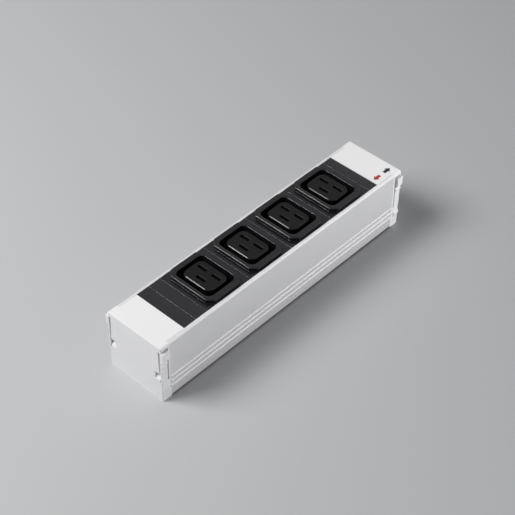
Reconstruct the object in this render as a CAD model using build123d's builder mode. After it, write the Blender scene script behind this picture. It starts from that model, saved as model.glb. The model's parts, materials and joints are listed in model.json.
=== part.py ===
from build123d import *
import os

# Busbar socket module: four 16 A outlets in an aluminium profile between two moulded caps.
# Millimetres. X runs along the module, Z is up, and the origin is on the ground under its middle.
# The outlets face up, and the busbar plug stands in an open channel on the underside.

# Module
overall_length = 251.0
overall_width = 51.5
overall_height = 52.0  # top of the profile's lips and of the caps
foot_height = 1.5  # the profile hangs this far above the caps' feet

# Aluminium profile
wall = 1.8
shoulder_radius = 2.0
lip_width = 2.8  # how far each top lip reaches in from the side
lip_thickness = 1.6
slot_height = 1.8  # the slot under each lip, which holds the flanges of what slides in
ledge_width = 2.0
ledge_thickness = 1.2
web_bottom = 14.0
web_thickness = 1.8
toe_width = 1.4  # inward toe along the bottom edge of each wall, which guides the rail
toe_thickness = 1.6
bead_radius = 1.1
bead_proud = 0.6
bead_first = 9.9
bead_pitch = 4.65
bead_count = 3

# Clearances
flange_clearance = 0.1
seam = 0.16  # between neighbouring plates in the panel
fit = 0.1

# End caps
cap_length = 8.4
cap_wall = 2.2
cap_edge_radius = 0.7  # along the end face
cap_shoulder_radius = 1.5  # along the sides
cap_plate_length = 24.8  # the top plate, from the end face to the panel
cap_side_block = 7.3  # the solid corner that carries each latch
cap_foot_width = 3.2
shelf_thickness = 2.2
stay_thickness = 2.0
stay_spacing = 28.0
boss_radius = 3.6
boss_height = 8.0
cap_screw_spacing = 30.0
cap_screw_reach = 8.0  # from the profile's end to the screws

# Latch tongues, one at each corner, measured down from the module's top
tongue_thickness = 1.2
tongue_length = 5.6  # along X
tongue_slit = 1.3  # the gap between the tongue and the cap's inner corner
latch_window_top = 2.8
latch_window_corner = 1.5  # the cap's corner that stands in front of the window
tongue_top = 4.3
tongue_clearance = 0.25  # above the tongue, under that corner
tongue_root = 33.7
gap_top = 1.7  # behind the tongue, where it has to bend furthest
gap_root = 0.7
lug_proud = 1.9
lug_bottom = 11.8
notch_top = 14.0
notch_bottom = 14.8
rib_proud = 1.1
rib_peak = 16.1
rib_bottom = 18.0
release_top = 25.3  # the pocket in the end face for a screwdriver
release_bottom = 31.8
release_width = 5.2
release_depth = 5.6
release_ramp_height = 2.6
release_ramp_length = 1.8
pad_radius = 6.0  # low swelling under each latch
pad_proud = 0.6
pad_height = 11.8

# Black panel: blanks and outlets
panel_drop = 0.35
flange_thickness = 1.7
blank_near_outer = 11.2
blank_near_inner = 10.7
blank_rib = 2.0
blank_rib_clearance = 0.5  # between the rib's ends and the ledges
plate_edge_radius = 0.3
socket_pitch = 42.6

# Outlet, sheet J pattern
collar_length = 33.4
collar_width = 43.2
collar_stand = 2.9  # above the module's top
collar_corner = 4.7
collar_edge_radius = 0.8
groove_length = 27.2
groove_width = 34.3
groove_corner = 4.5
groove_depth = 18.5
groove_edge_radius = 0.5
core_length = 20.1
core_width = 27.5
core_corner = 5.0
core_edge = 0.6
core_flange = 2.2
core_flange_thickness = 2.5
skirt_wall = 2.4
floor_thickness = 2.0
pole_spacing = 13.0  # between the two live poles, across the module
earth_offset = 8.0  # from the poles' row to the earth, along the module
mouth_length = 2.5
mouth_width = 8.2
mouth_edge = 0.35
mouth_depth = 6.0  # through the core, down to the contact carrier
chamber_length = 4.8
chamber_width = 9.2

# Contact clips
clip_thickness = 0.7
clip_length = 3.6
clip_width = 7.4
clip_height = 16.6
pinch_gap = 1.6
pinch_rise = 12.0

# Current strips and their tray
strip_width = 5.0
strip_thickness = 1.2
strip_overhang = 5.0
strip_lead = 1.0  # how far a strip runs past its first blade or clip
tray_wall = 2.0
tray_deck = 1.6
tray_base = 1.5
tray_end = 16.5  # how far the tray runs past the middle of the last outlet
fence_height = 1.0

# Busbar plug, off centre so that turning the module round picks the other circuit
plug_reach = 65.5  # from the near end to the plug's middle
plug_length = 28.0
plug_width = 22.0
plug_bottom = 2.6
plug_wall = 1.6
plug_recess = 3.9
plug_flange_length = 46.0
plug_flange_width = 30.0
plug_flange_thickness = 2.0
blade_width = 8.0  # along X
blade_thickness = 1.5
blade_tip = 3.0
blade_step = 8.0  # between neighbouring blades along X

# Screws and the earth bond
screw_radius = 1.45
screw_hole_radius = 1.7
screw_head_radius = 2.8
screw_head_height = 1.9
socket_recess = 1.0
cap_screw_length = 9.0
plug_screw_spacing = 38.0
strap_thickness = 1.0
strap_width = 8.0
strap_length = 11.0
strap_gap = 0.5  # from the tray's end to the strap
earth_screw_radius = 1.95
earth_hole_radius = 2.15
earth_head_radius = 3.6
earth_head_height = 2.2
nut_flats = 7.0
nut_height = 3.2

# Places that follow from these sizes
half_length = overall_length / 2
half_width = overall_width / 2
profile_half = half_length - cap_length
chamber_half = half_width - wall
lip_edge = half_width - lip_width
lip_bottom = overall_height - lip_thickness
seat_top = lip_bottom - slot_height
web_top = web_bottom + web_thickness
panel_top = overall_height - panel_drop
panel_half = half_length - cap_plate_length
collar_top = overall_height + collar_stand
groove_bottom = collar_top - groove_depth
frame_bottom = groove_bottom - floor_thickness
core_bottom = collar_top - mouth_depth
carrier_bottom = frame_bottom - core_flange_thickness
strip_bottom = carrier_bottom - strip_thickness
deck_bottom = strip_bottom - tray_deck
base_top = web_top + tray_base
sockets_start = -panel_half + blank_near_outer + blank_near_inner
socket_count = int((panel_half - sockets_start) // socket_pitch)
sockets_end = sockets_start + socket_count * socket_pitch
socket_centres = [sockets_start + (k + 0.5) * socket_pitch for k in range(socket_count)]
pole_shift = earth_offset / 2
plug_centre = -half_length + plug_reach
tray_start = plug_centre - plug_flange_length / 2
tray_stop = socket_centres[-1] + tray_end
cap_screw_place = profile_half - cap_screw_reach
strap_start = tray_stop + strap_gap
strap_centre = strap_start + strap_length / 2
root_height = overall_height - tongue_root
tongue_top_height = overall_height - tongue_top

os.makedirs("parts", exist_ok=True)


# Housing profile: two walls joined by a cross web, with inward lips and ledges at the top
with BuildPart() as housing_profile:
    with BuildSketch(Plane.YZ.offset(-profile_half)) as section:
        for side in (-1, 1):
            with Locations((side * (half_width - wall / 2), (foot_height + overall_height) / 2)):
                Rectangle(wall, overall_height - foot_height)
            with Locations((side * (half_width - lip_width / 2), overall_height - lip_thickness / 2)):
                Rectangle(lip_width, lip_thickness)
            with Locations((side * (chamber_half - ledge_width / 2), seat_top - ledge_thickness / 2)):
                Rectangle(ledge_width, ledge_thickness)
            with Locations((side * (chamber_half - toe_width / 2), foot_height + toe_thickness / 2)):
                Rectangle(toe_width, toe_thickness)
        with Locations((0, web_bottom + web_thickness / 2)):
            Rectangle(2 * chamber_half, web_thickness)
        shoulders = section.vertices().group_by(Axis.Y)[-1].sort_by(Axis.X)
        fillet([shoulders[0], shoulders[-1]], shoulder_radius)
        for side in (-1, 1):
            for row in range(bead_count):
                bead_height = bead_first + row * bead_pitch
                with Locations((side * (half_width + bead_proud - bead_radius), bead_height)):
                    Circle(bead_radius)
    extrude(amount=2 * profile_half)
    # Window for the busbar plug
    with BuildSketch(Plane.XY.offset(web_bottom)):
        with Locations((plug_centre, 0)):
            Rectangle(plug_length + 2 * fit, plug_width + 2 * fit)
    extrude(amount=web_thickness, mode=Mode.SUBTRACT)
    # Screw holes for the caps, the plug and the earth bond
    with BuildSketch(Plane.XY.offset(web_bottom)):
        with GridLocations(2 * cap_screw_place, cap_screw_spacing, 2, 2):
            Circle(screw_hole_radius)
        with Locations((plug_centre, 0)):
            with GridLocations(plug_screw_spacing, 0, 2, 1):
                Circle(screw_hole_radius)
        with Locations((strap_centre, 0)):
            Circle(earth_hole_radius)
    extrude(amount=web_thickness, mode=Mode.SUBTRACT)
housing_profile.part.label = "housing_profile"
export_step(housing_profile.part, "parts/housing_profile.step")


def slide_in_section(top):
    """Section of what slides in under the lips: a plate between them, with a flange below each."""
    with BuildSketch() as section:
        with Locations((0, (seat_top + top) / 2)):
            Rectangle(2 * (lip_edge - flange_clearance), top - seat_top)
        with Locations((0, seat_top + flange_thickness / 2)):
            Rectangle(2 * (chamber_half - flange_clearance), flange_thickness)
    return section.sketch


cap_plate_section = slide_in_section(overall_height)
panel_section = slide_in_section(panel_top)

# Near end cap: a moulded hollow head with a plate that runs in between the lips, a shelf that
# is screwed to the web, and at each corner a slit pocket for a latch tongue
with BuildPart() as near_end_cap:
    with BuildSketch(Plane.YZ.offset(-half_length)) as face:
        with Locations((0, overall_height / 2)):
            Rectangle(overall_width, overall_height)
        fillet(face.vertices().group_by(Axis.Y)[-1], cap_shoulder_radius)
    extrude(amount=cap_length)
    top_edge = near_end_cap.edges().filter_by(Axis.Y).group_by(Axis.Z)[-1].sort_by(Axis.X)[0]
    fillet(top_edge, cap_edge_radius)
    # Hollow above the web, and the rail channel's end below it
    with BuildSketch(Plane.YZ.offset(-half_length + cap_wall)):
        with Locations((0, (web_top + shelf_thickness + seat_top) / 2)):
            Rectangle(overall_width - 2 * cap_side_block, seat_top - web_top - shelf_thickness)
        with Locations((0, web_bottom / 2)):
            Rectangle(overall_width - 2 * cap_foot_width, web_bottom)
    extrude(amount=cap_length - cap_wall, mode=Mode.SUBTRACT)
    # Plate between the lips, up to the panel
    with BuildSketch(Plane.YZ.offset(-profile_half)):
        add(cap_plate_section)
    extrude(amount=cap_plate_length - cap_length)
    # Shelf on the web, with the two stays that carry the plate
    with BuildSketch(Plane.YZ.offset(-profile_half)):
        with Locations((0, web_top + shelf_thickness / 2)):
            Rectangle(2 * (chamber_half - flange_clearance), shelf_thickness)
        with GridLocations(stay_spacing, 0, 2, 1):
            with Locations((0, (web_top + seat_top) / 2)):
                Rectangle(stay_thickness, seat_top - web_top)
    extrude(amount=cap_plate_length - cap_length)
    with BuildSketch(Plane.YZ.offset(-half_length + cap_wall)):
        with GridLocations(stay_spacing, 0, 2, 1):
            with Locations((0, (web_top + seat_top) / 2)):
                Rectangle(stay_thickness, seat_top - web_top)
    extrude(amount=cap_length - cap_wall)
    # Screw bosses
    with BuildSketch(Plane.XY.offset(web_top)):
        with Locations((-cap_screw_place, 0)):
            with GridLocations(0, cap_screw_spacing, 1, 2):
                Circle(boss_radius)
    extrude(amount=shelf_thickness + boss_height)
    with BuildSketch(Plane.XY.offset(web_top)):
        with Locations((-cap_screw_place, 0)):
            with GridLocations(0, cap_screw_spacing, 1, 2):
                Circle(screw_radius + fit / 2)
    extrude(amount=cap_screw_length, mode=Mode.SUBTRACT)
    # Latch pockets: open to the side and to the end face, and narrower towards the root
    with BuildSketch(Plane.YZ.offset(-half_length)) as pockets:
        with BuildLine():
            Polyline(
                (half_width, root_height),
                (half_width - tongue_thickness - gap_root, root_height),
                (half_width - tongue_thickness - gap_top, tongue_top_height),
                (half_width - tongue_thickness - gap_top, tongue_top_height + tongue_clearance),
                (half_width, tongue_top_height + tongue_clearance),
                close=True,
            )
        make_face()
        mirror(about=Plane.YZ)
    extrude(amount=tongue_length + tongue_slit, mode=Mode.SUBTRACT)
    # Windows above the latches, behind the cap's corners
    window_height = overall_height - latch_window_top - tongue_top_height
    window_depth = tongue_thickness + gap_top
    with BuildSketch(Plane.YZ.offset(-half_length + latch_window_corner)):
        with Locations((0, tongue_top_height + window_height / 2)):
            with GridLocations(overall_width - window_depth, 0, 2, 1):
                Rectangle(window_depth, window_height)
    extrude(amount=tongue_length + tongue_slit - latch_window_corner, mode=Mode.SUBTRACT)
    # Release pockets beside the tongues, with a ramp that leads a blade in behind them
    with BuildSketch(Plane.XZ.offset(-half_width + tongue_thickness)):
        with BuildLine():
            Polyline(
                (-half_length, overall_height - release_bottom),
                (-half_length + release_ramp_length, overall_height - release_bottom + release_ramp_height),
                (-half_length + release_depth, overall_height - release_bottom + release_ramp_height),
                (-half_length + release_depth, overall_height - release_top),
                (-half_length, overall_height - release_top),
                close=True,
            )
        make_face()
    release_cut = extrude(amount=release_width, mode=Mode.SUBTRACT)
    mirror(release_cut, about=Plane.XZ, mode=Mode.SUBTRACT)
    # Low swelling on each side below the latch
    with BuildSketch(Plane.YZ.offset(-half_length)):
        with Locations((0, pad_height)):
            with GridLocations(2 * (half_width + pad_proud - pad_radius), 0, 2, 1):
                Circle(pad_radius)
        Rectangle(overall_width, 2 * overall_height, mode=Mode.SUBTRACT)
    extrude(amount=tongue_length)
near_end_cap.part.label = "near_end_cap"
export_step(near_end_cap.part, "parts/near_end_cap.step")

# Far end cap: the same moulding, turned end for end
with BuildPart() as far_end_cap:
    mirror(near_end_cap.part, about=Plane.YZ)
far_end_cap.part.label = "far_end_cap"
export_step(far_end_cap.part, "parts/far_end_cap.step")


# Latch tongue: a springy strip with a hooked lug and a finger rib, cut from one side profile
with BuildPart() as latch:
    with BuildSketch(Plane.YZ.offset(-half_length)):
        with BuildLine():
            Polyline(
                (half_width - tongue_thickness, root_height),
                (half_width, root_height),
                (half_width, overall_height - rib_bottom),
                (half_width + rib_proud, overall_height - rib_peak),
                (half_width, overall_height - notch_bottom),
                (half_width, overall_height - notch_top),
                (half_width + lug_proud, overall_height - lug_bottom),
                (half_width + lug_proud, tongue_top_height),
                (half_width - tongue_thickness, tongue_top_height),
                close=True,
            )
        make_face()
    extrude(amount=tongue_length)

for end, end_name in ((-1, "near"), (1, "far")):
    for side, side_name in ((-1, "right"), (1, "left")):
        with BuildPart() as corner_latch:
            add(latch.part)
            if end > 0:
                mirror(latch.part, about=Plane.YZ, mode=Mode.REPLACE)
            if side < 0:
                mirror(corner_latch.part, about=Plane.XZ, mode=Mode.REPLACE)
        corner_latch.part.label = f"latch_{end_name}_{side_name}"
        export_step(corner_latch.part, f"parts/latch_{end_name}_{side_name}.step")


# Blanks: plates that close the panel beside the outlets
blanks = (
    ("blank_near_outer", -panel_half, blank_near_outer),
    ("blank_near_inner", -panel_half + blank_near_outer, blank_near_inner),
    ("blank_far", sockets_end, panel_half - sockets_end),
)
for name, start, length in blanks:
    with BuildPart() as blank:
        with BuildSketch(Plane.YZ.offset(start + seam / 2)):
            add(panel_section)
        extrude(amount=length - seam)
        ends = blank.edges().filter_by(Axis.Y).group_by(Axis.Z)[-1]
        fillet(ends, plate_edge_radius)
        with BuildSketch(Plane.XY.offset(seat_top)):
            with Locations((start + length / 2, 0)):
                Rectangle(stay_thickness, 2 * (chamber_half - ledge_width - blank_rib_clearance))
        extrude(amount=-blank_rib)
    blank.part.label = name
    export_step(blank.part, f"parts/{name}.step")


# Outlet frame: a plate with a raised collar, a deep groove for the plug's shroud, and a skirt
with BuildPart() as socket_frame:
    with BuildSketch(Plane.YZ.offset(-(socket_pitch - seam) / 2)):
        add(panel_section)
    extrude(amount=socket_pitch - seam)
    fillet(socket_frame.edges().filter_by(Axis.Y).group_by(Axis.Z)[-1], plate_edge_radius)
    with BuildSketch(Plane.XY.offset(panel_top)) as collar:
        Rectangle(collar_length, collar_width)
        chamfer(collar.vertices(), collar_corner)
    extrude(amount=collar_top - panel_top)
    fillet(socket_frame.faces().sort_by(Axis.Z)[-1].edges(), collar_edge_radius)
    with BuildSketch(Plane.XY.offset(frame_bottom)):
        RectangleRounded(groove_length + 2 * skirt_wall, groove_width + 2 * skirt_wall, groove_corner)
    extrude(amount=seat_top - frame_bottom)
    with BuildSketch(Plane.XY.offset(collar_top)):
        RectangleRounded(groove_length, groove_width, groove_corner)
    extrude(amount=-groove_depth, mode=Mode.SUBTRACT)
    fillet(socket_frame.faces().sort_by(Axis.Z)[-1].inner_wires()[0].edges(), groove_edge_radius)
    with BuildSketch(Plane.XY.offset(groove_bottom)):
        RectangleRounded(core_length + 2 * fit, core_width + 2 * fit, core_corner)
    extrude(amount=-floor_thickness, mode=Mode.SUBTRACT)

# Outlet core: the top of the block in the middle, with three mouths for the plug's pins
pole_places = [
    (pole_shift, -pole_spacing / 2),
    (pole_shift, pole_spacing / 2),
    (-pole_shift, 0),
]
with BuildPart() as socket_core:
    with BuildSketch(Plane.XY.offset(core_bottom)):
        RectangleRounded(core_length, core_width, core_corner)
        with Locations(*pole_places):
            Rectangle(mouth_length, mouth_width, mode=Mode.SUBTRACT)
    extrude(amount=mouth_depth)
    front = socket_core.faces().sort_by(Axis.Z)[-1]
    rims = front.inner_wires()
    chamfer(front.outer_wire().edges(), core_edge)
    chamfer([edge for rim in rims for edge in rim.edges()], mouth_edge)

# Contact carrier: the block's lower part, with a chamber for the contact clips under each mouth
with BuildPart() as socket_carrier:
    with BuildSketch(Plane.XY.offset(carrier_bottom)):
        RectangleRounded(core_length + 2 * core_flange, core_width + 2 * core_flange, core_corner)
    extrude(amount=core_flange_thickness)
    with BuildSketch(Plane.XY.offset(carrier_bottom)):
        RectangleRounded(core_length, core_width, core_corner)
    extrude(amount=core_bottom - carrier_bottom)
    with BuildSketch(Plane.XY.offset(carrier_bottom)):
        with Locations(*pole_places):
            Rectangle(chamber_length, chamber_width)
    extrude(amount=core_bottom - carrier_bottom, mode=Mode.SUBTRACT)

# Contact clips: three sprung forks, each folded from one strip, that pinch the plug's pins
with BuildPart() as contact_clips:
    for x, y in pole_places:
        with BuildSketch(Plane.XZ.offset(-y)):
            with BuildLine():
                Polyline(
                    (x, carrier_bottom),
                    (x + clip_length / 2, carrier_bottom),
                    (x + pinch_gap / 2 + clip_thickness, carrier_bottom + pinch_rise),
                    (x + clip_length / 2, carrier_bottom + clip_height),
                    (x + clip_length / 2 - clip_thickness, carrier_bottom + clip_height),
                    (x + pinch_gap / 2, carrier_bottom + pinch_rise),
                    (x + clip_length / 2 - clip_thickness, carrier_bottom + clip_thickness),
                    (x, carrier_bottom + clip_thickness),
                    close=True,
                )
            make_face()
            mirror(about=Plane.YZ.offset(x))
        extrude(amount=clip_width / 2, both=True)

for number, centre in enumerate(socket_centres, start=1):
    for kind, pattern in (
        ("frame", socket_frame),
        ("core", socket_core),
        ("carrier", socket_carrier),
        ("contacts", contact_clips),
    ):
        with BuildPart() as placed:
            with Locations((centre, 0, 0)):
                add(pattern.part)
        placed.part.label = f"socket_{kind}_{number}"
        export_step(placed.part, f"parts/socket_{kind}_{number}.step")


# Current strips under the outlets, and the blades that lead them down to the busbar
strips = (
    ("live", -pole_spacing / 2, pole_shift, plug_centre - blade_step),
    ("neutral", pole_spacing / 2, pole_shift, plug_centre + blade_step),
    ("earth", 0, -pole_shift, plug_centre),
)
for name, across, shift, blade_place in strips:
    first = min(blade_place - blade_width / 2, socket_centres[0] + shift - clip_length / 2) - strip_lead
    last = socket_centres[-1] + shift + strip_overhang
    if name == "earth":
        last = strap_start + strap_length
    with BuildPart() as strip:
        with BuildSketch(Plane.XY.offset(strip_bottom)):
            with Locations(((first + last) / 2, across)):
                Rectangle(last - first, strip_width)
        extrude(amount=strip_thickness)
    strip.part.label = f"strip_{name}"
    export_step(strip.part, f"parts/strip_{name}.step")
    with BuildPart() as blade:
        with BuildSketch(Plane.XZ.offset(-across)) as outline:
            with Locations((blade_place, (blade_tip + strip_bottom) / 2)):
                Rectangle(blade_width, strip_bottom - blade_tip)
            chamfer(outline.vertices().group_by(Axis.Y)[0], blade_thickness)
        extrude(amount=blade_thickness / 2, both=True)
    blade.part.label = f"plug_blade_{name}"
    export_step(blade.part, f"parts/plug_blade_{name}.step")

# Insulating tray: a hollow section whose deck keeps the strips apart between low fences
deck_half = pole_spacing / 2 + strip_width / 2 + tray_wall
with BuildPart() as insulating_tray:
    with BuildSketch(Plane.YZ.offset(tray_start)):
        with Locations((0, web_top + tray_base / 2)):
            Rectangle(2 * (chamber_half - flange_clearance), tray_base)
        with Locations((0, strip_bottom - tray_deck / 2)):
            Rectangle(2 * deck_half, tray_deck)
        for side in (-1, 1):
            with Locations((side * (deck_half - tray_wall / 2), (web_top + strip_bottom + fence_height) / 2)):
                Rectangle(tray_wall - fit, strip_bottom + fence_height - web_top)
            with Locations((side * pole_spacing / 4, strip_bottom + fence_height / 2)):
                Rectangle(pole_spacing / 2 - strip_width - 2 * fit, fence_height)
    extrude(amount=tray_stop - tray_start)
    with BuildSketch(Plane.XY.offset(web_top)):
        with Locations((plug_centre, 0)):
            Rectangle(plug_length + 2 * fit, plug_width + 2 * fit)
            with GridLocations(plug_screw_spacing, 0, 2, 1):
                Circle(screw_hole_radius)
    extrude(amount=tray_base, mode=Mode.SUBTRACT)
    with BuildSketch(Plane.XY.offset(deck_bottom)):
        for name, across, shift, blade_place in strips:
            with Locations((blade_place, across)):
                Rectangle(blade_width + 2 * fit, blade_thickness + 2 * fit)
    extrude(amount=tray_deck, mode=Mode.SUBTRACT)
insulating_tray.part.label = "insulating_tray"
export_step(insulating_tray.part, "parts/insulating_tray.step")


# Busbar plug: a block through the web, with a flange below it and a wall round the blades
with BuildPart() as plug_housing:
    with BuildSketch(Plane.XY.offset(plug_bottom)) as nose:
        with Locations((plug_centre, 0)):
            Rectangle(plug_length, plug_width)
        fillet(nose.vertices(), plug_wall)
    extrude(amount=base_top - plug_bottom)
    with BuildSketch(Plane.XY.offset(web_bottom)) as flange:
        with Locations((plug_centre, 0)):
            Rectangle(plug_flange_length, plug_flange_width)
        fillet(flange.vertices(), 2 * plug_wall)
    extrude(amount=-plug_flange_thickness)
    with BuildSketch(Plane.XY.offset(plug_bottom)):
        with Locations((plug_centre, 0)):
            Rectangle(plug_length - 2 * plug_wall, plug_width - 2 * plug_wall)
    extrude(amount=plug_recess, mode=Mode.SUBTRACT)
    with BuildSketch(Plane.XY.offset(plug_bottom)):
        for name, across, shift, blade_place in strips:
            with Locations((blade_place, across)):
                Rectangle(blade_width + 2 * fit, blade_thickness + 2 * fit)
    extrude(amount=base_top - plug_bottom, mode=Mode.SUBTRACT)
    with BuildSketch(Plane.XY.offset(web_bottom)):
        with Locations((plug_centre, 0)):
            with GridLocations(plug_screw_spacing, 0, 2, 1):
                Circle(screw_hole_radius)
    extrude(amount=-plug_flange_thickness, mode=Mode.SUBTRACT)
plug_housing.part.label = "plug_housing"
export_step(plug_housing.part, "parts/plug_housing.step")


def pan_head_screw(radius, length, head_radius, head_height):
    """A screw that points up, its head's seat on the XY plane, with a drive recess below."""
    with BuildPart() as screw:
        with BuildSketch(Plane.XY):
            Circle(radius)
        extrude(amount=length)
        chamfer(screw.faces().sort_by(Axis.Z)[-1].edges(), radius / 3)
        with BuildSketch(Plane.XY):
            Circle(head_radius)
        extrude(amount=-head_height)
        fillet(screw.faces().sort_by(Axis.Z)[0].edges(), head_height / 2)
        with BuildSketch(Plane.XY.offset(-head_height)):
            Rectangle(1.2 * head_radius, head_radius / 4)
            Rectangle(head_radius / 4, 1.2 * head_radius)
        extrude(amount=socket_recess, mode=Mode.SUBTRACT)
    return screw.part


# Cap screws, from the rail channel up through the web
with BuildPart() as cap_screws:
    with GridLocations(2 * cap_screw_place, cap_screw_spacing, 2, 2):
        with Locations((0, 0, web_bottom)):
            add(pan_head_screw(screw_radius, cap_screw_length, screw_head_radius, screw_head_height))
cap_screws.part.label = "cap_screws"
export_step(cap_screws.part, "parts/cap_screws.step")

# Plug screws, through the plug's flange
plug_screw_length = plug_flange_thickness + web_thickness + tray_base
with BuildPart() as plug_screws:
    with Locations((plug_centre, 0, web_bottom - plug_flange_thickness)):
        with GridLocations(plug_screw_spacing, 0, 2, 1):
            add(pan_head_screw(screw_radius, plug_screw_length, screw_head_radius, screw_head_height))
plug_screws.part.label = "plug_screws"
export_step(plug_screws.part, "parts/plug_screws.step")

# Earth bond: a folded strap from the earth strip to the web, with its screw and nut
with BuildPart() as earth_strap:
    with BuildSketch(Plane.XZ) as fold:
        with Locations((strap_centre, (web_top + strip_bottom) / 2)):
            Rectangle(strap_length, strip_bottom - web_top)
        with Locations((strap_centre - strap_thickness, (web_top + strip_bottom) / 2)):
            Rectangle(strap_length, strip_bottom - web_top - 2 * strap_thickness, mode=Mode.SUBTRACT)
    extrude(amount=strap_width / 2, both=True)
    with BuildSketch(Plane.XY.offset(web_top)):
        with Locations((strap_centre, 0)):
            Circle(earth_hole_radius)
    extrude(amount=strap_thickness, mode=Mode.SUBTRACT)
earth_strap.part.label = "earth_strap"
export_step(earth_strap.part, "parts/earth_strap.step")

earth_screw_length = web_thickness + strap_thickness + nut_height
with BuildPart() as earth_screw:
    with Locations((strap_centre, 0, web_bottom)):
        add(pan_head_screw(earth_screw_radius, earth_screw_length, earth_head_radius, earth_head_height))
earth_screw.part.label = "earth_screw"
export_step(earth_screw.part, "parts/earth_screw.step")

with BuildPart() as earth_nut:
    with BuildSketch(Plane.XY.offset(web_top + strap_thickness)):
        with Locations((strap_centre, 0)):
            RegularPolygon(nut_flats / 2, 6, major_radius=False)
            Circle(earth_screw_radius + fit / 2, mode=Mode.SUBTRACT)
    extrude(amount=nut_height)
earth_nut.part.label = "earth_nut"
export_step(earth_nut.part, "parts/earth_nut.step")
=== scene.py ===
import json
import math

import bmesh
import bpy
import numpy as np
from mathutils import Euler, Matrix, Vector

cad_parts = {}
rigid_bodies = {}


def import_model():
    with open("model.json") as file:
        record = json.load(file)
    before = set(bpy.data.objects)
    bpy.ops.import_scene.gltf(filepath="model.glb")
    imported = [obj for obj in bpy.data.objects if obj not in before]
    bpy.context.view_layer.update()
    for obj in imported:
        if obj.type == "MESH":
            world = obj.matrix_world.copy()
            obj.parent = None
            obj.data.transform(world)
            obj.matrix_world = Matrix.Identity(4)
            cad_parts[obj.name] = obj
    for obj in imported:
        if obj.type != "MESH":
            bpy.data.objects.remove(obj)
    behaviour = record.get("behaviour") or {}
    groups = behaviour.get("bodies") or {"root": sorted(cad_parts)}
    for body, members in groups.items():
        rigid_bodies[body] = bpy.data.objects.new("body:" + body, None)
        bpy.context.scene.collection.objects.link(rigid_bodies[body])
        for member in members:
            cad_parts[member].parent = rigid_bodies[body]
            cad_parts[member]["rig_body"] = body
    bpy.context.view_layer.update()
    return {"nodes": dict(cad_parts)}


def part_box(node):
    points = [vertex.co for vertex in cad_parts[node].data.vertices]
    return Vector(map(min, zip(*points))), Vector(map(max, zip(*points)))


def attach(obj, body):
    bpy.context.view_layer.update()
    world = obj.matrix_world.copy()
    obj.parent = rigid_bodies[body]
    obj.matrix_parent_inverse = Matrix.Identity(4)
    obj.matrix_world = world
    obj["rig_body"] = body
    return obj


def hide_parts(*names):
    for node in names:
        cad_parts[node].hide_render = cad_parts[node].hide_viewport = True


# Looks of the busbar socket module: each CAD node gets a dressed copy with broken edges and a material
# for its real finish, and the prints on the far cap are pieces of their own.
# Metres, in the module's own frame: X along it, Z up, the ground at Z 0.

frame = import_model()
nodes = frame["nodes"]

MM = 0.001

# Real sizes in millimetres
edge_break_moulded = 0.18  # radius that a mould leaves along an edge
edge_break_metal = 0.12
edge_break_stamped = 0.06
mouths_half_length = 7.5  # the field round an outlet's three mouths that plugs rub
mouths_half_width = 12.0
melt_mottle = 34.0  # across one cloud of slightly other colour in a moulded piece
alloy_cloud = 22.0  # the same in a metal

# The two printed arrows on the far cap's plate, in millimetres
arrow_length = 7.0
arrow_head_length = 3.4
arrow_head_width = 5.4
arrow_shaft_width = 2.6
arrow_across = -17.6
black_arrow_along = 118.1
red_arrow_along = 106.5
ink_thickness = 0.03  # above the plate, and as much below its face

# How a dressed copy's mesh is made
same_point = 1e-6  # metres between corners that are one
flat_angle = math.radians(0.5)  # triangles that meet flatter than this are one face
sharp_angle = math.radians(28)  # faces that meet sharper than this keep an edge between them
edge_break_segments = 2

# Roughness: how far grain and drawing lines take it below and above a material's own
grain_glossier, grain_duller = 0.06, 0.07
line_glossier, line_duller = 0.07, 0.08
scuff_roughness = 0.25  # what rubbing adds round the mouths
line_slimness = 0.012  # a drawing line's width over its length

# The studio, in metres
floor_size = 30.0
paper_fibres_per_metre = 900.0
room_scattered = 0.26  # the room's strength on matt surfaces
room_mirrored = 0.73  # and where the camera or a gloss sees it
middle_of_module = Vector((0, 0, 0.03))

# The photograph's camera: metres, and degrees
eye = Vector((-0.5521, -0.5032, 0.7466))
heading = 42.58  # from +X towards +Y
pitch = 43.73
roll = 0.68
lens_over_sensor = 2.7894
sensor_width = 36.0
nearest_seen = 0.05


def linear(hex_colour):
    """An sRGB hex value as linear RGBA."""
    values = [int(hex_colour[i:i + 2], 16) / 255 for i in (1, 3, 5)]
    return [v / 12.92 if v <= 0.04045 else ((v + 0.055) / 1.055) ** 2.4 for v in values] + [1.0]


def put(tree, kind, inputs=None, **settings):
    """Adds a node, sets its properties, and sets or links its inputs, named or numbered."""
    made = tree.nodes.new(kind)
    for name, value in settings.items():
        setattr(made, name, value)
    for key, value in (inputs or {}).items():
        if isinstance(value, bpy.types.NodeSocket):
            tree.links.new(value, made.inputs[key])
        else:
            made.inputs[key].default_value = value
    return made


def new_material(name):
    """A material with a bare Principled shader, its tree, the shader, and the place in the object."""
    material = bpy.data.materials.new(name)
    material.use_nodes = True
    tree = material.node_tree
    tree.nodes.clear()
    shader = put(tree, "ShaderNodeBsdfPrincipled")
    put(tree, "ShaderNodeOutputMaterial", {"Surface": shader.outputs["BSDF"]})
    place = put(tree, "ShaderNodeTexCoord").outputs["Object"]
    return material, tree, shader, place


def tint(tree, shader, cloud, colour, second):
    """The base colour, which drifts between two close colours as a noise does."""
    mixed = put(tree, "ShaderNodeMix", {0: cloud.outputs["Fac"], 6: linear(colour), 7: linear(second)},
                data_type="RGBA")
    tree.links.new(mixed.outputs[2], shader.inputs["Base Color"])


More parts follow.
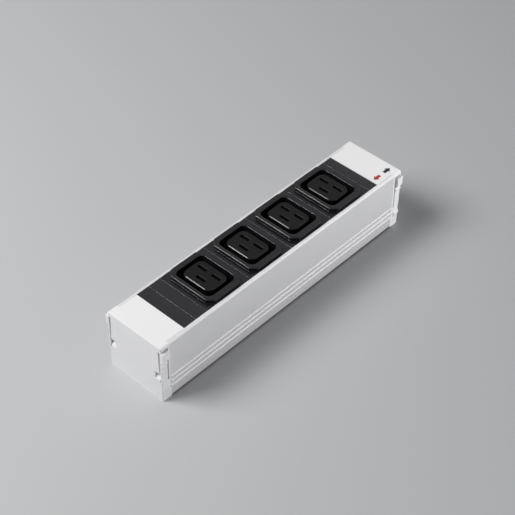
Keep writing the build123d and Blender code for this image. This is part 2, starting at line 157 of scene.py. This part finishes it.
def tool_marks(tree, shader, marks, glossiest, dullest, depth_mm):
    """Marks that a tool left: they move the roughness between two values, and stand up by their depth."""
    gloss = put(tree, "ShaderNodeMapRange", {"Value": marks.outputs["Fac"], "To Min": glossiest,
                                             "To Max": dullest})
    tree.links.new(gloss.outputs["Result"], shader.inputs["Roughness"])
    bump = put(tree, "ShaderNodeBump", {"Height": marks.outputs["Fac"], "Strength": 1.0,
                                        "Distance": depth_mm * MM})
    tree.links.new(bump.outputs["Normal"], shader.inputs["Normal"])


def moulded(name, colour, mottle, roughness, grain_mm, depth_mm, ior, gleam=0.5):
    """A moulded thermoplastic: spark-eroded grain from the mould, and a slow mottle from the melt.

    A real grain is near 0.1 mm, too fine for the render, so it is drawn a few times as coarse, to show.
    """
    material, tree, shader, place = new_material(name)
    grain = put(tree, "ShaderNodeTexNoise", {"Vector": place, "Scale": 1 / (grain_mm * MM),
                                             "Detail": 3.0, "Roughness": 0.6})
    melt = put(tree, "ShaderNodeTexNoise", {"Vector": place, "Scale": 1 / (melt_mottle * MM),
                                            "Detail": 4.0})
    tint(tree, shader, melt, colour, mottle)
    tool_marks(tree, shader, grain, roughness - grain_glossier, roughness + grain_duller, depth_mm)
    shader.inputs["IOR"].default_value = ior
    shader.inputs["Specular IOR Level"].default_value = gleam
    return material


def drawn_metal(name, colour, second, roughness, line_mm, depth_mm, along="X", metallic=1.0):
    """A metal that was pressed, rolled or drawn: fine lines along one axis, no lacquer.

    Real lines are under 0.1 mm apart, so these are drawn a few times as coarse, to show.
    """
    material, tree, shader, place = new_material(name)
    scale = [line_slimness if axis == along else 1.0 for axis in "XYZ"]
    drawn_out = put(tree, "ShaderNodeMapping", {"Vector": place, "Scale": scale})
    lines = put(tree, "ShaderNodeTexNoise", {"Vector": drawn_out.outputs["Vector"],
                                             "Scale": 1 / (line_mm * MM), "Detail": 4.0})
    cloud = put(tree, "ShaderNodeTexNoise", {"Vector": place, "Scale": 1 / (alloy_cloud * MM),
                                             "Detail": 5.0})
    tint(tree, shader, cloud, colour, second)
    tool_marks(tree, shader, lines, roughness - line_glossier, roughness + line_duller, depth_mm)
    shader.inputs["Metallic"].default_value = metallic
    return material


def scuff_mouths(material):
    """Duller where plugs' pins rub: a field round the three mouths, repeated at the outlets' pitch.

    X is wrapped to one pitch round the first outlet. The field is 1 where both X and Y lie within its
    half sizes of the outlet's middle, and 0 elsewhere.
    """
    tree = material.node_tree
    shader = tree.nodes["Principled BSDF"]
    first, second = (sum(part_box(f"socket_core_{number}"), Vector()) / 2 for number in (1, 2))
    half_pitch = (second.x - first.x) / 2
    place = put(tree, "ShaderNodeSeparateXYZ", {0: put(tree, "ShaderNodeTexCoord").outputs["Object"]})
    along = put(tree, "ShaderNodeMath", {0: place.outputs["X"], 1: first.x + half_pitch,
                                         2: first.x - half_pitch}, operation="WRAP")
    near_x = put(tree, "ShaderNodeMath", {0: along.outputs[0], 1: first.x, 2: mouths_half_length * MM},
                 operation="COMPARE")
    near_y = put(tree, "ShaderNodeMath", {0: place.outputs["Y"], 1: first.y, 2: mouths_half_width * MM},
                 operation="COMPARE")
    field = put(tree, "ShaderNodeMath", {0: near_x.outputs[0], 1: near_y.outputs[0]}, operation="MULTIPLY")
    unworn = shader.inputs["Roughness"].links[0].from_socket
    rubbed = put(tree, "ShaderNodeMath", {0: field.outputs[0], 1: scuff_roughness, 2: unworn},
                 operation="MULTIPLY_ADD")
    tree.links.new(rubbed.outputs[0], shader.inputs["Roughness"])


# Light grey ABS/PC, moulded with a fine spark-eroded grain: matt, even and a trace cool
light_grey_abs = moulded("light_grey_abs", "#e9e9ea", "#e4e4e5", roughness=0.48, grain_mm=0.45,
                         depth_mm=0.012, ior=1.53)
# Black glass-filled nylon: charcoal under light, with a coarser grain where fibres show
black_nylon = moulded("black_glass_filled_nylon", "#18181b", "#1d1d20", roughness=0.27, grain_mm=0.5,
                      depth_mm=0.005, ior=1.5, gleam=0.4)
# The same nylon without glass, for the outlets' frames: a shade deeper, and its edges catch the light
outlet_nylon = moulded("black_outlet_nylon", "#101013", "#151518", roughness=0.26, grain_mm=0.5,
                       depth_mm=0.004, ior=1.5, gleam=0.35)
# Black PBT of the outlets' cores: the deepest black, with the least gleam
core_pbt = moulded("black_pbt", "#0b0b0d", "#101012", roughness=0.27, grain_mm=0.4, depth_mm=0.004,
                   ior=1.5, gleam=0.18)
scuff_mouths(core_pbt)
# Natural extruded polyamide, for the inner tray: the colour of cream
natural_nylon = moulded("natural_nylon", "#d8d2bd", "#cfc8b0", roughness=0.5, grain_mm=0.6,
                        depth_mm=0.01, ior=1.53)
# Natural anodised aluminium: etched first, so the film is milky and scatters much of the light
anodised = drawn_metal("natural_anodised_aluminium", "#e9e9eb", "#e2e2e4", roughness=0.45, line_mm=0.5,
                       depth_mm=0.006, metallic=0.4)
# Half-hard brass, stamped and folded: warm, with rolling lines up the leaves
brass = drawn_metal("stamped_brass", "#d9b364", "#c99f4f", roughness=0.3, line_mm=0.3, depth_mm=0.003,
                    along="Z")
# Bare copper strip, cut from rolled stock
copper = drawn_metal("rolled_copper", "#d68a63", "#c2734d", roughness=0.28, line_mm=0.4, depth_mm=0.003)
# Bright zinc plate on steel: bluish and slightly cloudy
zinc = drawn_metal("bright_zinc_plate", "#c3c7cd", "#b4b9c2", roughness=0.27, line_mm=0.4,
                   depth_mm=0.002, along="Z")
# Pad-printing ink: thin, dull, a little uneven where the pad lifted
black_ink = moulded("black_pad_ink", "#17171a", "#212125", roughness=0.55, grain_mm=0.35,
                    depth_mm=0.006, ior=1.5)
red_ink = moulded("red_pad_ink", "#99302b", "#a43a34", roughness=0.55, grain_mm=0.35,
                  depth_mm=0.006, ior=1.5)


def give(piece, material):
    """The piece shows this material alone."""
    piece.data.materials.clear()
    piece.data.materials.append(material)


def dressed(name, material, edge_break):
    """A copy of a CAD node with its triangles merged, its edges broken and its curves smooth."""
    source = nodes[name]
    mesh = source.data.copy()
    shape = bmesh.new()
    shape.from_mesh(mesh)
    bmesh.ops.remove_doubles(shape, verts=shape.verts, dist=same_point)
    bmesh.ops.dissolve_limit(shape, angle_limit=flat_angle, verts=shape.verts, edges=shape.edges)
    for edge in shape.edges:
        edge.smooth = len(edge.link_faces) == 2 and edge.calc_face_angle() < sharp_angle
    for face in shape.faces:
        face.smooth = True
    shape.to_mesh(mesh)
    shape.free()
    mesh.name = name + "_dressed"
    piece = bpy.data.objects.new(name + "_dressed", mesh)
    bpy.context.scene.collection.objects.link(piece)
    bevel = piece.modifiers.new("edge_break", "BEVEL")
    bevel.width = edge_break * MM
    bevel.segments = edge_break_segments
    bevel.limit_method = "ANGLE"
    bevel.angle_limit = sharp_angle
    bevel.harden_normals = True
    give(piece, material)
    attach(piece, source["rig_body"])
    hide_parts(name)
    return piece


# How the nodes' names start, and what such nodes are made of
finishes = (
    (("housing_profile",), anodised, edge_break_metal, "anodised_aluminium"),
    (("near_end_cap", "far_end_cap", "latch_"), light_grey_abs, edge_break_moulded, "light_grey_plastic"),
    (("blank_", "plug_housing"), black_nylon, edge_break_moulded, "black_plastic"),
    (("socket_frame",), outlet_nylon, edge_break_moulded, "black_plastic"),
    (("socket_core", "socket_carrier"), core_pbt, edge_break_moulded, "black_plastic"),
    (("socket_contacts",), brass, edge_break_stamped, "contact_brass"),
    (("strip_", "plug_blade"), copper, edge_break_stamped, "strip_copper"),
    (("insulating_tray",), natural_nylon, edge_break_moulded, "natural_plastic"),
    (("cap_screws", "plug_screws", "earth_"), zinc, edge_break_stamped, "zinc_plated_steel"),
)
pale_mouldings = []
for starts, material, edge_break, slot in finishes:
    for name in sorted(n for n in nodes if n.startswith(starts)):
        give(nodes[name], material)
        piece = dressed(name, material, edge_break)
        if material == light_grey_abs:
            pale_mouldings.append(piece)


def outline_plate(name, outline, low, high):
    """A flat print: each point of an outline in the XY plane stands at two heights.

    A wall runs from each point to the next, and the outline itself closes the bottom and the top.
    """
    count = len(outline)
    rings = np.array([np.column_stack([outline, np.full(count, z)]) for z in (low, high)])
    step = np.arange(count)
    after = (step + 1) % count
    walls = np.column_stack([step, after, after + count, step + count])
    faces = [step[::-1].tolist(), (step + count).tolist(), *walls.tolist()]
    mesh = bpy.data.meshes.new(name)
    mesh.from_pydata(rings.reshape(-1, 3), [], faces)
    piece = bpy.data.objects.new(name, mesh)
    bpy.context.scene.collection.objects.link(piece)
    return piece


def block_arrow(name, along, direction, material):
    """A block arrow printed on the cap: a shaft and a triangular head, pointing along X or back."""
    half = arrow_length / 2
    neck = half - arrow_head_length
    outline = np.array([
        (-half, -arrow_shaft_width / 2), (neck, -arrow_shaft_width / 2),
        (neck, -arrow_head_width / 2), (half, 0.0), (neck, arrow_head_width / 2),
        (neck, arrow_shaft_width / 2), (-half, arrow_shaft_width / 2),
    ])
    outline = outline * direction + (along, arrow_across)
    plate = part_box("far_end_cap")[1].z
    piece = outline_plate(name, outline * MM, plate - ink_thickness * MM, plate + ink_thickness * MM)
    give(piece, material)
    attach(piece, "module")


block_arrow("arrow_print_black", black_arrow_along, 1, black_ink)
block_arrow("arrow_print_red", red_arrow_along, -1, red_ink)


# Floor: a pale sheet of studio paper, uncoated, so it has no gloss
paper, tree, shader, place = new_material("studio_paper")
fibre = put(tree, "ShaderNodeTexNoise", {"Vector": place, "Scale": paper_fibres_per_metre, "Detail": 4.0})
tint(tree, shader, fibre, "#bfc0c1", "#c4c5c6")
shader.inputs["Roughness"].default_value = 0.9
shader.inputs["Specular IOR Level"].default_value = 0.1
bpy.ops.mesh.primitive_plane_add(size=floor_size, location=(0, 0, 0))
floor = bpy.context.object
floor.name = "floor"
give(floor, paper)

# Room: even and pale, brighter where the camera or a gloss sees it than in what it scatters
world = bpy.data.worlds.new("studio")
bpy.context.scene.world = world
world.use_nodes = True
tree = world.node_tree
tree.nodes.clear()
ray = put(tree, "ShaderNodeLightPath")
seen = put(tree, "ShaderNodeMath", {0: ray.outputs["Is Camera Ray"], 1: ray.outputs["Is Glossy Ray"]},
           operation="MAXIMUM")
strength = put(tree, "ShaderNodeMapRange", {"Value": seen.outputs["Value"], "To Min": room_scattered,
                                            "To Max": room_mirrored})
room = put(tree, "ShaderNodeBackground", {"Color": linear("#f5f5f6"), "Strength": strength.outputs["Result"]})
put(tree, "ShaderNodeOutputWorld", {"Surface": room.outputs["Background"]})


def left_out(name, pieces):
    """A collection for a lamp's light linking, of the pieces that this lamp passes over."""
    collection = bpy.data.collections.new(name)
    for piece in pieces:
        collection.objects.link(piece)
    for member in collection.collection_objects:
        member.light_linking.link_state = "EXCLUDE"
    return collection


def soft_box(name, place, size, power, scattered=True, mirrored=True, passes_over=None):
    """A square area lamp that faces the module, seen in scattered light, in reflections or both."""
    lamp = bpy.data.lights.new(name, "AREA")
    lamp.shape = "SQUARE"
    lamp.size = size
    lamp.energy = power
    holder = bpy.data.objects.new(name, lamp)
    holder.location = place
    holder.rotation_euler = (middle_of_module - Vector(place)).to_track_quat("-Z", "Y").to_euler()
    holder.visible_diffuse = scattered
    holder.visible_glossy = mirrored
    if not scattered:  # then no wall throws the lamp's glint on to its neighbour
        lamp.cycles.max_bounces = 0
    holder.light_linking.receiver_collection = passes_over
    bpy.context.scene.collection.objects.link(holder)


# Lamps: a broad box high on the near left, a small one below it that draws the black pieces' edges, and
# two low ones on the right. The small one would bleach the caps in views from the far end, and the low
# ones would leave a bright patch on the floor, so they pass over those.
caps_left_out = left_out("caps_left_out", pale_mouldings)
floor_left_out = left_out("floor_left_out", [floor])
soft_box("key_box", (-0.85, 0.65, 1.2), size=0.8, power=22.9, mirrored=False)
soft_box("glint_box", (-1.09, 0.765, 0.86), size=0.25, power=19, scattered=False, passes_over=caps_left_out)
soft_box("fill_box", (0.42, -0.44, 0.14), size=0.3, power=2.3, mirrored=False, passes_over=floor_left_out)
soft_box("sheen_box", (0.75, -0.85, 0.5), size=0.9, power=2.3, passes_over=floor_left_out)

# Camera: the photograph's place, direction and angle of view
camera_data = bpy.data.cameras.new("photo_camera")
camera_data.sensor_width = sensor_width
camera_data.lens = lens_over_sensor * sensor_width
camera_data.clip_start = nearest_seen
camera = bpy.data.objects.new("photo_camera", camera_data)
camera.location = eye
turn = Euler((math.radians(90 - pitch), 0, math.radians(heading - 90))).to_matrix()
tilt = Euler((0, 0, math.radians(roll))).to_matrix()
camera.rotation_euler = (turn @ tilt).to_euler()
bpy.context.scene.collection.objects.link(camera)
bpy.context.scene.camera = camera
bpy.context.scene.view_settings.view_transform = "Standard"
